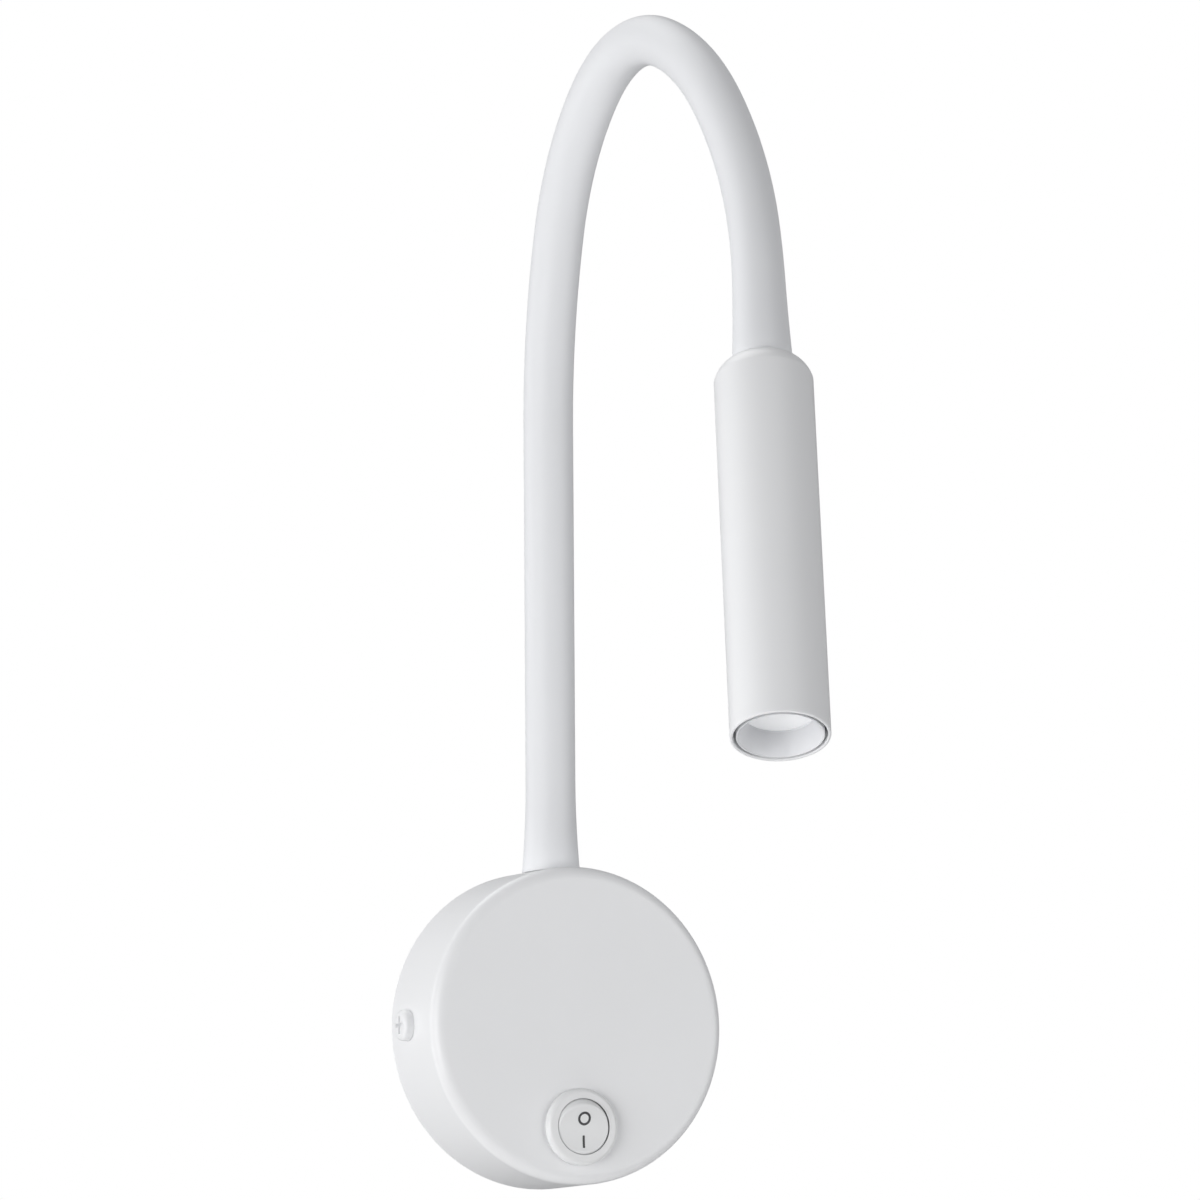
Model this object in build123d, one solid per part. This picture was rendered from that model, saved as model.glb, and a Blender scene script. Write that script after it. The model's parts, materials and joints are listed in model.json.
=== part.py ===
from build123d import *
import math
import os

# A wall-mounted reading lamp: a round base with a rocker switch, a flexible neck and a tubular head.
# Sizes are in millimetres. The origin is the middle of the base's back, on the wall.
# +Z is up and the lamp faces -Y.

# Allowances
OVERRUN = 4.0  # how far a cutting shape runs past the piece that it cuts
SEAT_GAP = 0.05  # between faces that are clamped or bonded together
SLIP_GAP = 0.2  # round a piece that is pushed into a bore or a slot
THREAD_GAP = 0.1  # round a screw in its tapped hole
SCREW_GAP = 0.3  # round a screw in its clearance hole
BEND_SHARE = 0.45  # share of the shorter run that a wire's bend takes up

# Base cover
BASE_R = 40.0
BASE_DEPTH = 26.0
BASE_WALL = 1.5
BASE_EDGE_R = 3.0

# Wall bracket, with two bent tabs that the cover is screwed to
BRACKET_T = 1.5
BRACKET_WIDTH = 16.0
BRACKET_BEND_R = 2.5
TAB_END = 5.0  # tab beyond the middle of its screw
LUG_MARGIN = 2.0  # lug beyond the ends of the terminal block
LUG_TOP_MARGIN = 1.0
LUG_CORNER_R = 3.0
SLOT_EDGE = 5.36  # from a wall slot's end to the outside of the tab
SLOT_LENGTH = 12.0
SLOT_WIDTH = 4.6

# Cover screws
COVER_SCREW_R = 2.0
COVER_SCREW_HEAD_R = 3.9
COVER_SCREW_HEAD_T = 2.4
COVER_SCREW_LENGTH = 7.0
COVER_SCREW_OUT = 10.0  # distance from the wall
CROSS_WIDTH = 0.9
CROSS_LENGTH = 4.4
CROSS_DEPTH = 1.3
HEAD_ROUND_SHARE = 0.45  # share of a screw head's thickness that is rounded off

# Cable inlet
INLET_R = 4.0
GROMMET_WALL = 1.0
GROMMET_FLANGE = 1.0

# Terminal block and its screws
BLOCK_GAP = 1.0  # below the lead
BLOCK_FOOT_GAP = 0.6  # above the cable inlet
BLOCK_WIDTH = 26.0
BLOCK_T = 9.0
BLOCK_EDGE_R = 0.8
POLE_PITCH = 8.0
POLE_COUNT = 3
POLE_DEPTH_SHARE = 0.45
TERMINAL_SCREW_R = 1.5
BLOCK_SCREW_R = 1.25
BLOCK_SCREW_HEAD_R = 2.2
BLOCK_SCREW_HEAD_T = 1.4
SLOT_CUT = 0.6
EARTH_SCREW_R = 2.0
EARTH_SCREW_HEAD_R = 3.5
EARTH_SCREW_HEAD_T = 2.6

# LED driver and its bonding pad
DRIVER_WIDTH = 38.0
DRIVER_GAP = 0.5  # below the terminal block
DRIVER_FOOT_GAP = 3.4  # above the switch
DRIVER_BACK_GAP = 0.9  # in front of the terminal block, for the wires behind
DRIVER_EDGE_R = 1.5
PAD_T = 1.0
PAD_SHARE = 0.8
SOCKET_DEPTH = 3.0
# Socket places on the driver's ends, from its middle, as shares of its height
NEUTRAL_DROP_SHARE = 0.27
LEAD_RISE_SHARE = 0.14
SWITCHED_DROP_SHARE = 0.09

# Wires inside the base
WIRE_R = 0.9
WIRE_GAP = 0.3
WIRE_IN_POLE = 3.0
SOCKET_RUN = 6.0  # straight run of a wire outside the driver's end
LEAD_DROP = 4.2  # straight run of the lead below the neck's threaded end
# Free points of each route, as shares of the base's inner radius twice and of its depth
LIVE_ROUTE_SHARES = [(-0.12, -0.31, 0.22)]
SWITCHED_ROUTE_SHARES = [(-0.73, -0.16, 0.54), (-0.65, -0.44, 0.38), (-0.44, -0.68, 0.34)]
NEUTRAL_ROUTE_SHARES = [(0.39, -0.1, 0.31), (0.6, -0.17, 0.38), (0.73, -0.16, 0.54)]
EARTH_ROUTE_SHARES = [(0.08, 0.0, 0.2)]
LEAD_ROUTE_SHARES = [(0.31, 0.62, 0.58), (0.62, 0.46, 0.66), (0.76, 0.24, 0.67)]

# Rocker switch
SWITCH_EDGE = 1.7  # flat face left between the bezel and the base's rounded edge
BEZEL_R = 9.7
BEZEL_T = 2.0
BEZEL_EDGE_R = 1.3
SWITCH_BODY_R = 8.7
SWITCH_BODY_DEPTH = 13.5
SWITCH_CLIP = 0.7
SWITCH_CLIP_WIDTH = 5.0
SWITCH_CLIP_LENGTH = 4.0
ROCKER_PIVOT = 2.0  # below the panel's face
ROCKER_FACE_R = 6.1
ROCKER_FACE_HEIGHT = 5.0  # top and bottom edges of the face above the pivot
ROCKER_DISH_R = 20.0  # hollow of the face, bent from top to bottom
ROCKER_SKIRT_HEIGHT = 2.6
ROCKER_EDGE_R = 0.7
ROCKER_GAP = 0.3
ROCKER_TILT_ANGLE = 6.5
ROCKER_HUB_X = 6.0
ROCKER_HUB_T = 3.6
ROCKER_HUB_DROP = 1.9
ROCKER_PIN_R = 0.9
ROCKER_PIN_X = 7.3
ROCKER_WELL_FLOOR = 1.5  # above the pivot
ROCKER_WELL_DROP = 3.2  # below the pivot
ROCKER_WELL_HALF = 4.2
BLADE_WIDTH = 4.8
BLADE_T = 0.8
BLADE_LENGTH = 7.0
BLADE_ROOT = 3.0
BLADE_PITCH = 10.0

# Flexible neck
NECK_OUT = 9.5  # distance of the neck's foot from the wall
NECK_SINK = 1.0  # the neck's line starts this far below the top of the base
HOSE_R = 6.3
SLEEVE_WALL = 1.9
CORE_WALL = 1.0
LEAD_R = 2.0
FOOT_R = 7.4
FOOT_FLARE = 24.0
COLLAR_R = 7.1
COLLAR_FLARE = 18.0
COLLAR_SINK = 1.5  # how far the sleeve's end goes into the head
FOOT_GAP = 0.15
LAP_ANGLE = 70.0  # half angle of the ball that laps each bending place
LAP_GAP = 0.25
STEM_LINK = 57.0
RISE_LINK = 50.0
ARCH_LINK = 40.0
END_ARC = 20.0
END_RUN = 20.5
# How far each link curves forward and sideways, in degrees
FORWARD_ANGLES = [0, 0, 17, 35, 55, 31, 8, 11]
SIDEWAYS_ANGLES = [0, 0, 0, 0, 0, 0, -9, 0]

# Threaded ends of the neck
NIPPLE_R = 5.0
NIPPLE_BORE_R = 2.5
NIPPLE_STEM = 10.0
NIPPLE_COLLAR_R = 6.0
NIPPLE_COLLAR_T = 2.5
SPIGOT_LENGTH = 12.0
NUT_FLATS = 14.0
NUT_T = 4.0
WASHER_R = 8.0
WASHER_T = 1.2

# Lamp head
HEAD_R = 12.0
HEAD_LENGTH = 105.5
HEAD_WALL = 0.8
HEAD_SHOULDER = 5.2  # height of the domed shoulder
HEAD_SHOULDER_R = 8.0
HEAD_BROW_R = 1.2  # round between the shoulder and the side
HEAD_POCKET = 2.5  # depth of the pocket that takes the neck's end
HEAD_TOP_T = 4.0
HEAD_LIP_R = 0.35
RECESS = 6.6  # from the mouth to the face of the lens
GLARE_LIP = 0.3
GLARE_INNER_R = 8.65
GLARE_GAP = 0.7
GLARE_SINK = 0.2
GLARE_FLANGE_T = 1.5
SEAL_T = 0.5
LENS_RIM_R = 10.3
LENS_RIM_T = 2.0
LENS_BACK_R = 5.2
LENS_CONE = 4.0
HOLDER_WALL = 0.8
EMITTER_R = 4.5
EMITTER_T = 1.0
EMITTER_GAP = 0.4
BOARD_T = 1.6
SINK_LENGTH = 24.0
SINK_STEM_R = 6.0
SINK_FIN_T = 1.6
SINK_FIN_COUNT = 5
BOARD_SCREW_R = 1.0
BOARD_SCREW_HEAD_R = 1.8
BOARD_SCREW_HEAD_T = 1.0
BOARD_SCREW_LENGTH = 5.0
BOARD_HOLE_DEPTH = 6.0
BOARD_SCREW_X = 7.4

# Sizes that follow from the ones above
BASE_INNER_R = BASE_R - BASE_WALL
TAB_X = math.sqrt(BASE_INNER_R**2 - (BRACKET_WIDTH / 2) ** 2) - SCREW_GAP
TAB_LENGTH = COVER_SCREW_OUT + TAB_END
SLOT_SPACING = 2 * (TAB_X - SLOT_EDGE - SLOT_LENGTH / 2)
GROMMET_R = INLET_R + GROMMET_WALL + GROMMET_FLANGE
EARTH_X = (GROMMET_R + SLOT_SPACING / 2 - SLOT_LENGTH / 2) / 2
NIPPLE_SEAT = BASE_R + SEAT_GAP
NIPPLE_FOOT = NIPPLE_SEAT - NIPPLE_STEM
BLOCK_TOP = NIPPLE_FOOT - LEAD_DROP - LEAD_R - BLOCK_GAP
BLOCK_FOOT = GROMMET_R + BLOCK_FOOT_GAP
BLOCK_HEIGHT = BLOCK_TOP - BLOCK_FOOT
BLOCK_UP = (BLOCK_TOP + BLOCK_FOOT) / 2
LUG_WIDTH = BLOCK_WIDTH + 2 * LUG_MARGIN
LUG_TOP = BLOCK_TOP + LUG_TOP_MARGIN
BLOCK_BACK = BRACKET_T + SEAT_GAP
POLE_OUT = BLOCK_BACK + BLOCK_T * POLE_DEPTH_SHARE
SWITCH_UP = BEZEL_R + SWITCH_EDGE + BASE_EDGE_R - BASE_R
DRIVER_TOP = BLOCK_FOOT - DRIVER_GAP
DRIVER_HEIGHT = DRIVER_TOP - (SWITCH_UP + SWITCH_BODY_R + DRIVER_FOOT_GAP)
DRIVER_UP = DRIVER_TOP - DRIVER_HEIGHT / 2
DRIVER_FRONT = BASE_DEPTH - BASE_WALL - PAD_T - 2 * SEAT_GAP
DRIVER_T = DRIVER_FRONT - (BLOCK_BACK + BLOCK_T + DRIVER_BACK_GAP)
DRIVER_MIDDLE = DRIVER_FRONT - DRIVER_T / 2
NEUTRAL_DROP = DRIVER_HEIGHT * NEUTRAL_DROP_SHARE
LEAD_RISE = DRIVER_HEIGHT * LEAD_RISE_SHARE
SWITCHED_DROP = DRIVER_HEIGHT * SWITCHED_DROP_SHARE
PIVOT_OUT = BASE_DEPTH - ROCKER_PIVOT
ROCKER_BALL_R = math.hypot(ROCKER_FACE_R, ROCKER_FACE_HEIGHT)
ROCKER_DISH_HEIGHT = ROCKER_FACE_HEIGHT + math.sqrt(ROCKER_DISH_R**2 - ROCKER_FACE_R**2)
SWITCH_BACK = BASE_DEPTH - SWITCH_BODY_DEPTH
CORE_R = HOSE_R - SLEEVE_WALL - SLIP_GAP
CORE_BORE_R = CORE_R - CORE_WALL
BALL_R = HOSE_R / math.sin(math.radians(LAP_ANGLE))
LINK_LENGTHS = [STEM_LINK] * 2 + [RISE_LINK] + [ARCH_LINK] * 4 + [END_ARC]
NECK_LINKS = list(zip(LINK_LENGTHS, FORWARD_ANGLES, SIDEWAYS_ANGLES))
HEAD_BORE_R = HEAD_R - HEAD_WALL
LENS_FACE = HEAD_LENGTH - RECESS
LENS_RIM_BACK = LENS_FACE - LENS_RIM_T
LENS_BACK = LENS_RIM_BACK - LENS_CONE
EMITTER_BACK = LENS_BACK - EMITTER_GAP - EMITTER_T
BOARD_FRONT = EMITTER_BACK - SEAT_GAP
BOARD_BACK = BOARD_FRONT - BOARD_T
SINK_FRONT = BOARD_BACK - SEAT_GAP
CARRIER_R = HEAD_BORE_R - SLIP_GAP  # pieces that slide into the head's bore

# The base's own frame: x to the right, y up, z out of the wall
BASE = Plane(origin=(0, 0, 0), x_dir=(1, 0, 0), z_dir=(0, -1, 0))

LOW = (Align.CENTER, Align.CENTER, Align.MIN)
PARTS = {}


# Shapes used all over
def rod(radius, length):
    """A cylinder that stands on its frame's floor."""
    return Cylinder(radius, length, align=LOW)


def tube(outer, inner, length):
    """A plain tube that stands on its frame's floor."""
    return rod(outer, length) - rod(inner, length)


def block(width, height, thickness):
    """A box that stands on its frame's floor."""
    return Box(width, height, thickness, align=LOW)


def spun(*points):
    """A solid of revolution about Z from points of radius and height."""
    outline = make_face(Polyline(*points, close=True))
    return revolve(Plane.XZ * outline, Axis.Z)


def pan_screw(radius, length, head_r, head_t, drive):
    """A screw whose head stands on the floor and whose shank hangs below it."""
    head = rod(head_r, head_t)
    head = fillet(head.edges().group_by(Axis.Z)[-1], head_t * HEAD_ROUND_SHARE)
    return head + Pos(0, 0, -length) * rod(radius, length) - Pos(0, 0, head_t) * drive


def cross_drive():
    """The cutter for a cross recess in the face of a screw."""
    bar = Box(CROSS_LENGTH, CROSS_WIDTH, 2 * CROSS_DEPTH)
    return bar + Rot(0, 0, 90) * bar


def slot_drive(head_r):
    """The cutter for a straight slot across the face of a screw."""
    return Box(2 * head_r + OVERRUN, SLOT_CUT, 2 * SLOT_CUT)


def corner_radii(points):
    """The bend radius at each corner of a wire's route, as large as its runs allow."""
    radii = []
    for before, corner, after in zip(points, points[1:], points[2:]):
        run_in = Vector(corner) - Vector(before)
        run_out = Vector(after) - Vector(corner)
        half_turn = math.radians(run_in.get_angle(run_out)) / 2
        radii.append(BEND_SHARE * min(run_in.length, run_out.length) / math.tan(half_turn))
    return radii


def wire(radius, *points):
    """A round wire along a route of straight runs and tangent bends."""
    path = FilletPolyline(*points, radius=corner_radii(points))
    return sweep((path ^ 0) * Circle(radius), path)


# Base cover and wall bracket
def base_cover():
    shell = rod(BASE_R, BASE_DEPTH)
    shell = fillet(shell.edges().group_by(Axis.Z)[-1], BASE_EDGE_R)
    hollow = rod(BASE_INNER_R, BASE_DEPTH - BASE_WALL)
    hollow = fillet(hollow.edges().group_by(Axis.Z)[-1], BASE_EDGE_R - BASE_WALL)
    neck_hole = Pos(0, 0, NECK_OUT) * Rot(-90, 0, 0) * rod(NIPPLE_R + SLIP_GAP, BASE_R + OVERRUN)
    switch_hole = Pos(0, SWITCH_UP, 0) * rod(SWITCH_BODY_R + SLIP_GAP, BASE_DEPTH + OVERRUN)
    screw_holes = Pos(0, 0, COVER_SCREW_OUT) * Rot(0, 90, 0) * Cylinder(
        COVER_SCREW_R + SCREW_GAP, 2 * BASE_R + OVERRUN
    )
    return BASE * (shell - hollow - neck_hole - switch_hole - screw_holes)


def wall_bracket():
    strip = block(2 * TAB_X, BRACKET_WIDTH, TAB_LENGTH)
    strip = fillet(strip.edges().filter_by(Axis.Y).group_by(Axis.Z)[0], BRACKET_BEND_R)
    inside = Pos(0, 0, BRACKET_T) * block(2 * (TAB_X - BRACKET_T), BRACKET_WIDTH + OVERRUN, TAB_LENGTH)
    inside = fillet(inside.edges().filter_by(Axis.Y).group_by(Axis.Z)[0], BRACKET_BEND_R - BRACKET_T)
    lug = Pos(0, LUG_TOP / 2, 0) * block(LUG_WIDTH, LUG_TOP, BRACKET_T)
    lug = fillet(lug.edges().filter_by(Axis.Z).group_by(Axis.Y)[-1], LUG_CORNER_R)
    plate = strip - inside + lug
    through = 2 * (BRACKET_T + OVERRUN)
    slot = extrude(SlotOverall(SLOT_LENGTH, SLOT_WIDTH), through, both=True)
    for side in (-1, 1):
        plate -= Pos(side * SLOT_SPACING / 2, 0, 0) * slot
        plate -= Pos(side * POLE_PITCH / 2, BLOCK_UP, 0) * Cylinder(BLOCK_SCREW_R + THREAD_GAP, through)
    plate -= Cylinder(INLET_R + GROMMET_WALL + SEAT_GAP, through)
    plate -= Pos(EARTH_X, 0, 0) * Cylinder(EARTH_SCREW_R + THREAD_GAP, through)
    tapped = Rot(0, 90, 0) * Cylinder(COVER_SCREW_R + THREAD_GAP, 2 * BASE_R)
    return BASE * (plate - Pos(0, 0, COVER_SCREW_OUT) * tapped)


def cover_screws():
    screw = pan_screw(
        COVER_SCREW_R, COVER_SCREW_LENGTH, COVER_SCREW_HEAD_R, COVER_SCREW_HEAD_T, cross_drive()
    )
    place = Pos(0, 0, COVER_SCREW_OUT)
    right = place * Pos(BASE_R + SEAT_GAP, 0, 0) * Rot(0, 90, 0) * screw
    left = place * Pos(-BASE_R - SEAT_GAP, 0, 0) * Rot(0, -90, 0) * screw
    return BASE * Compound([right, left])


def inlet_grommet():
    barrel = tube(INLET_R + GROMMET_WALL, INLET_R, BRACKET_T + SEAT_GAP)
    flange = Pos(0, 0, BRACKET_T + SEAT_GAP) * tube(GROMMET_R, INLET_R, GROMMET_FLANGE)
    return BASE * (barrel + flange)


# Mains connection
def pole_places():
    """The place of each pole of the terminal block, across the block."""
    return [POLE_PITCH * (k - (POLE_COUNT - 1) / 2) for k in range(POLE_COUNT)]


def terminal_block():
    body = block(BLOCK_WIDTH, BLOCK_HEIGHT, BLOCK_T)
    body = fillet(body.edges().group_by(Axis.Z)[-1], BLOCK_EDGE_R)
    entry = Pos(0, 0, BLOCK_T * POLE_DEPTH_SHARE) * Rot(90, 0, 0) * Cylinder(WIRE_R + WIRE_GAP, BLOCK_HEIGHT)
    screw_well = Pos(0, 0, BLOCK_T * POLE_DEPTH_SHARE) * rod(TERMINAL_SCREW_R + THREAD_GAP, BLOCK_T)
    for x in pole_places():
        body -= Pos(x, 0, 0) * (entry + screw_well)
    for side in (-1, 1):
        body -= Pos(side * POLE_PITCH / 2, 0, 0) * rod(BLOCK_SCREW_R + SLIP_GAP, BLOCK_T)
    return BASE * Pos(0, BLOCK_UP, BLOCK_BACK) * body


def terminal_screws():
    bottom = BLOCK_T * POLE_DEPTH_SHARE + WIRE_R + WIRE_GAP
    length = BLOCK_T - bottom - TERMINAL_SCREW_R
    screw = rod(TERMINAL_SCREW_R, length) - Pos(0, 0, length) * slot_drive(TERMINAL_SCREW_R)
    place = Pos(0, BLOCK_UP, BLOCK_BACK + bottom)
    return BASE * Compound([place * Pos(x, 0, 0) * screw for x in pole_places()])


def block_screws():
    screw = pan_screw(
        BLOCK_SCREW_R,
        BLOCK_T + BRACKET_T,
        BLOCK_SCREW_HEAD_R,
        BLOCK_SCREW_HEAD_T,
        slot_drive(BLOCK_SCREW_HEAD_R),
    )
    place = Pos(0, BLOCK_UP, BLOCK_BACK + BLOCK_T + SEAT_GAP)
    return BASE * Compound([place * Pos(side * POLE_PITCH / 2, 0, 0) * screw for side in (-1, 1)])


def earth_screw():
    screw = pan_screw(
        EARTH_SCREW_R, BRACKET_T, EARTH_SCREW_HEAD_R, EARTH_SCREW_HEAD_T, cross_drive()
    )
    return BASE * Pos(EARTH_X, 0, BRACKET_T + SEAT_GAP) * screw


# LED driver
def driver_case():
    case = Box(DRIVER_WIDTH, DRIVER_HEIGHT, DRIVER_T)
    case = fillet(case.edges(), DRIVER_EDGE_R)
    end = DRIVER_WIDTH / 2 - SOCKET_DEPTH
    wire_socket = rod(WIRE_R + WIRE_GAP, SOCKET_DEPTH + OVERRUN)
    lead_socket = rod(LEAD_R + WIRE_GAP, SOCKET_DEPTH + OVERRUN)
    case -= Pos(end, LEAD_RISE, 0) * Rot(0, 90, 0) * lead_socket
    case -= Pos(end, -NEUTRAL_DROP, 0) * Rot(0, 90, 0) * wire_socket
    case -= Pos(-end, -SWITCHED_DROP, 0) * Rot(0, -90, 0) * wire_socket
    return BASE * Pos(0, DRIVER_UP, DRIVER_MIDDLE) * case


def driver_pad():
    pad = block(DRIVER_WIDTH * PAD_SHARE, DRIVER_HEIGHT * PAD_SHARE, PAD_T)
    return BASE * Pos(0, DRIVER_UP, DRIVER_FRONT + SEAT_GAP) * pad


# Rocker switch
def switch_housing():
    bezel = Pos(0, 0, BASE_DEPTH) * rod(BEZEL_R, BEZEL_T)
    bezel = fillet(bezel.edges().group_by(Axis.Z)[-1].sort_by(SortBy.RADIUS)[-1], BEZEL_EDGE_R)
    bezel = Pos(0, 0, SEAT_GAP) * bezel
    body = Pos(0, 0, SWITCH_BACK) * rod(SWITCH_BODY_R, SWITCH_BODY_DEPTH + BEZEL_T / 2)
    clip_front = BASE_DEPTH - BASE_WALL - SEAT_GAP
    clip = Pos(0, 0, clip_front - SWITCH_CLIP_LENGTH) * block(
        2 * (SWITCH_BODY_R + SWITCH_CLIP), SWITCH_CLIP_WIDTH, SWITCH_CLIP_LENGTH
    )
    clip = chamfer(clip.edges().filter_by(Axis.Y).group_by(Axis.Z)[0], SWITCH_CLIP_LENGTH / 2, SWITCH_CLIP)
    housing = bezel + body + clip
    pivot = Pos(0, 0, PIVOT_OUT)
    bowl = Sphere(ROCKER_BALL_R + ROCKER_GAP)
    bowl &= Pos(0, 0, ROCKER_WELL_FLOOR) * rod(2 * ROCKER_BALL_R, 2 * ROCKER_BALL_R)
    well = Pos(0, 0, -ROCKER_WELL_DROP) * block(
        2 * (ROCKER_HUB_X + SLIP_GAP), 2 * ROCKER_WELL_HALF, ROCKER_WELL_DROP + ROCKER_SKIRT_HEIGHT
    )
    bearing = Rot(0, 90, 0) * Cylinder(ROCKER_PIN_R + SLIP_GAP, 2 * (ROCKER_PIN_X + SLIP_GAP))
    housing -= pivot * (bowl + well + bearing)
    for side in (-1, 1):
        slot = block(BLADE_WIDTH + SLIP_GAP, BLADE_T + SLIP_GAP, BLADE_ROOT + SLIP_GAP)
        housing -= Pos(0, side * BLADE_PITCH / 2, SWITCH_BACK) * slot
    return BASE * Pos(0, SWITCH_UP, 0) * housing


def switch_terminals():
    blade = block(BLADE_WIDTH, BLADE_T, BLADE_LENGTH + BLADE_ROOT)
    start = SWITCH_BACK - BLADE_LENGTH
    blades = [Pos(0, SWITCH_UP + side * BLADE_PITCH / 2, start) * blade for side in (-1, 1)]
    return BASE * Compound(blades)


def switch_rocker():
    dish = Pos(0, 0, ROCKER_DISH_HEIGHT) * Rot(0, 90, 0) * Cylinder(ROCKER_DISH_R, 2 * ROCKER_DISH_R)
    button = Sphere(ROCKER_BALL_R) & Pos(0, 0, ROCKER_SKIRT_HEIGHT) * rod(ROCKER_BALL_R, ROCKER_BALL_R)
    button -= dish
    button = fillet(button.edges().group_by(Axis.Z)[-1], ROCKER_EDGE_R)
    hub = Pos(0, 0, -ROCKER_HUB_DROP) * block(
        2 * ROCKER_HUB_X, ROCKER_HUB_T, ROCKER_HUB_DROP + ROCKER_SKIRT_HEIGHT
    )
    pins = Rot(0, 90, 0) * Cylinder(ROCKER_PIN_R, 2 * ROCKER_PIN_X)
    rocker = button + hub + pins
    return BASE * Pos(0, SWITCH_UP, PIVOT_OUT) * Rot(ROCKER_TILT_ANGLE, 0, 0) * rocker


# Wiring inside the base
def inside_base(shares):
    """Free points of a route, from shares of the base's inner radius and depth."""
    return [
        (BASE_INNER_R * across, BASE_INNER_R * up, BASE_DEPTH * out) for across, up, out in shares
    ]


def base_wire(radius, start, route_shares, *end):
    """A wire from its start through the free points of its route to its end."""
    return BASE * wire(radius, *start, *inside_base(route_shares), *end)


def pole_start(pole):
    """The two first points of a wire that leaves the terminal block downwards."""
    x = pole_places()[pole]
    return (x, BLOCK_FOOT + WIRE_IN_POLE, POLE_OUT), (x, BLOCK_FOOT - 2 * WIRE_IN_POLE, POLE_OUT)


def base_wires():
    blade_out = SWITCH_BACK - BLADE_LENGTH / 2
    upper_blade = SWITCH_UP + BLADE_PITCH / 2 + BLADE_T / 2 + SEAT_GAP
    lower_blade = SWITCH_UP - BLADE_PITCH / 2
    blade_edge = BLADE_WIDTH / 2 + SEAT_GAP
    socket_end = DRIVER_WIDTH / 2 - SOCKET_DEPTH + WIRE_GAP
    socket_run = DRIVER_WIDTH / 2 + SOCKET_RUN
    lead_up = DRIVER_UP + LEAD_RISE
    neutral_up = DRIVER_UP - NEUTRAL_DROP
    switched_up = DRIVER_UP - SWITCHED_DROP
    earth_end = EARTH_X - EARTH_SCREW_HEAD_R - SEAT_GAP
    earth_out = BLOCK_BACK + GROMMET_FLANGE + WIRE_GAP + WIRE_R
    PARTS["live_wire"] = base_wire(
        WIRE_R,
        pole_start(0),
        LIVE_ROUTE_SHARES,
        (0, upper_blade + BLADE_WIDTH, blade_out),
        (0, upper_blade, blade_out),
    )
    PARTS["switched_wire"] = base_wire(
        WIRE_R,
        [(-socket_end, switched_up, DRIVER_MIDDLE), (-socket_run, switched_up, DRIVER_MIDDLE)],
        SWITCHED_ROUTE_SHARES,
        (-blade_edge - 2 * WIRE_IN_POLE, lower_blade, blade_out),
        (-blade_edge, lower_blade, blade_out),
    )
    PARTS["neutral_wire"] = base_wire(
        WIRE_R,
        pole_start(2),
        NEUTRAL_ROUTE_SHARES,
        (socket_run, neutral_up, DRIVER_MIDDLE),
        (socket_end, neutral_up, DRIVER_MIDDLE),
    )
    PARTS["earth_wire"] = base_wire(
        WIRE_R,
        pole_start(1),
        EARTH_ROUTE_SHARES,
        (earth_end - WIRE_IN_POLE, 0, earth_out),
        (earth_end, 0, earth_out),
    )
    PARTS["driver_lead"] = base_wire(
        LEAD_R,
        [(0, NIPPLE_FOOT, NECK_OUT), (0, NIPPLE_FOOT - LEAD_DROP, NECK_OUT)],
        LEAD_ROUTE_SHARES,
        (socket_run, lead_up, DRIVER_MIDDLE),
        (socket_end, lead_up, DRIVER_MIDDLE),
    )


# Flexible neck
def link_step(length, forward, sideways):
    """The bend of a link: its plane, its angle, its radius and the step to its far end."""
    angle = math.hypot(forward, sideways)
    if angle == 0:
        return Rot(0, 0, 0), 0.0, 0.0, Pos(0, 0, length)
    turn = Rot(0, 0, math.degrees(math.atan2(sideways, forward)))
    bend_r = length / math.radians(angle)
    rise = bend_r * math.sin(math.radians(angle))
    reach = bend_r * (1 - math.cos(math.radians(angle)))
    step = turn * Pos(0, -reach, rise) * Rot(angle, 0, 0) * turn.inverse()
    return turn, angle, bend_r, step


def neck_frames():
    """The frame at each end of each link, with z along the neck and x across the lamp."""
    frame = Location(Plane(origin=(0, -NECK_OUT, BASE_R - NECK_SINK), x_dir=(1, 0, 0), z_dir=(0, 0, 1)))
    frames = [frame]
    for link in NECK_LINKS:
        frame = frame * link_step(*link)[3]
        frames.append(frame)
    return frames


FRAMES = neck_frames()
NECK_END = FRAMES[-1] * Pos(0, 0, END_RUN)  # where the sleeve meets the head


def ring_face(outer, inner):
    """A flat ring, or a disc where it has no bore."""
    return Circle(outer) - Circle(inner) if inner else Circle(outer)


def link_run(index, outer, inner):
    """One layer of a link, between its two end frames."""
    length = NECK_LINKS[index][0]
    turn, angle, bend_r, _ = link_step(*NECK_LINKS[index])
    face = ring_face(outer, inner)
    if angle == 0:
        return FRAMES[index] * extrude(face, length)
    bent = revolve(face, Axis((0, -bend_r, 0), (1, 0, 0)), angle)
    return FRAMES[index] * turn * bent


def ball_end(index, outer, inner):
    """The rounded end that a link pushes into the next one."""
    stub = extrude(ring_face(outer, inner), BALL_R)
    return FRAMES[index + 1] * (stub & Sphere(BALL_R))


def socket(index):
    """The hollow in a link's start that clears the ball of the link before."""
    return FRAMES[index] * Sphere(BALL_R + LAP_GAP)


def flared_sleeve(length, end_r, flare, pocket):
    """A straight sleeve whose outside widens to its floor, with a pocket there for a collar."""
    bore_r = HOSE_R - SLEEVE_WALL
    pocket_r = NIPPLE_COLLAR_R + SLIP_GAP
    outline = Polyline(
        (HOSE_R, flare), (HOSE_R, length), (bore_r, length), (bore_r, pocket), (pocket_r, pocket)
    ) + Polyline((pocket_r, pocket), (pocket_r, 0), (end_r, 0))
    side = TangentArc((HOSE_R, flare), (end_r, 0), tangent=(0, -1))
    return revolve(Plane.XZ * make_face(outline + side), Axis.Z)


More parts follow.
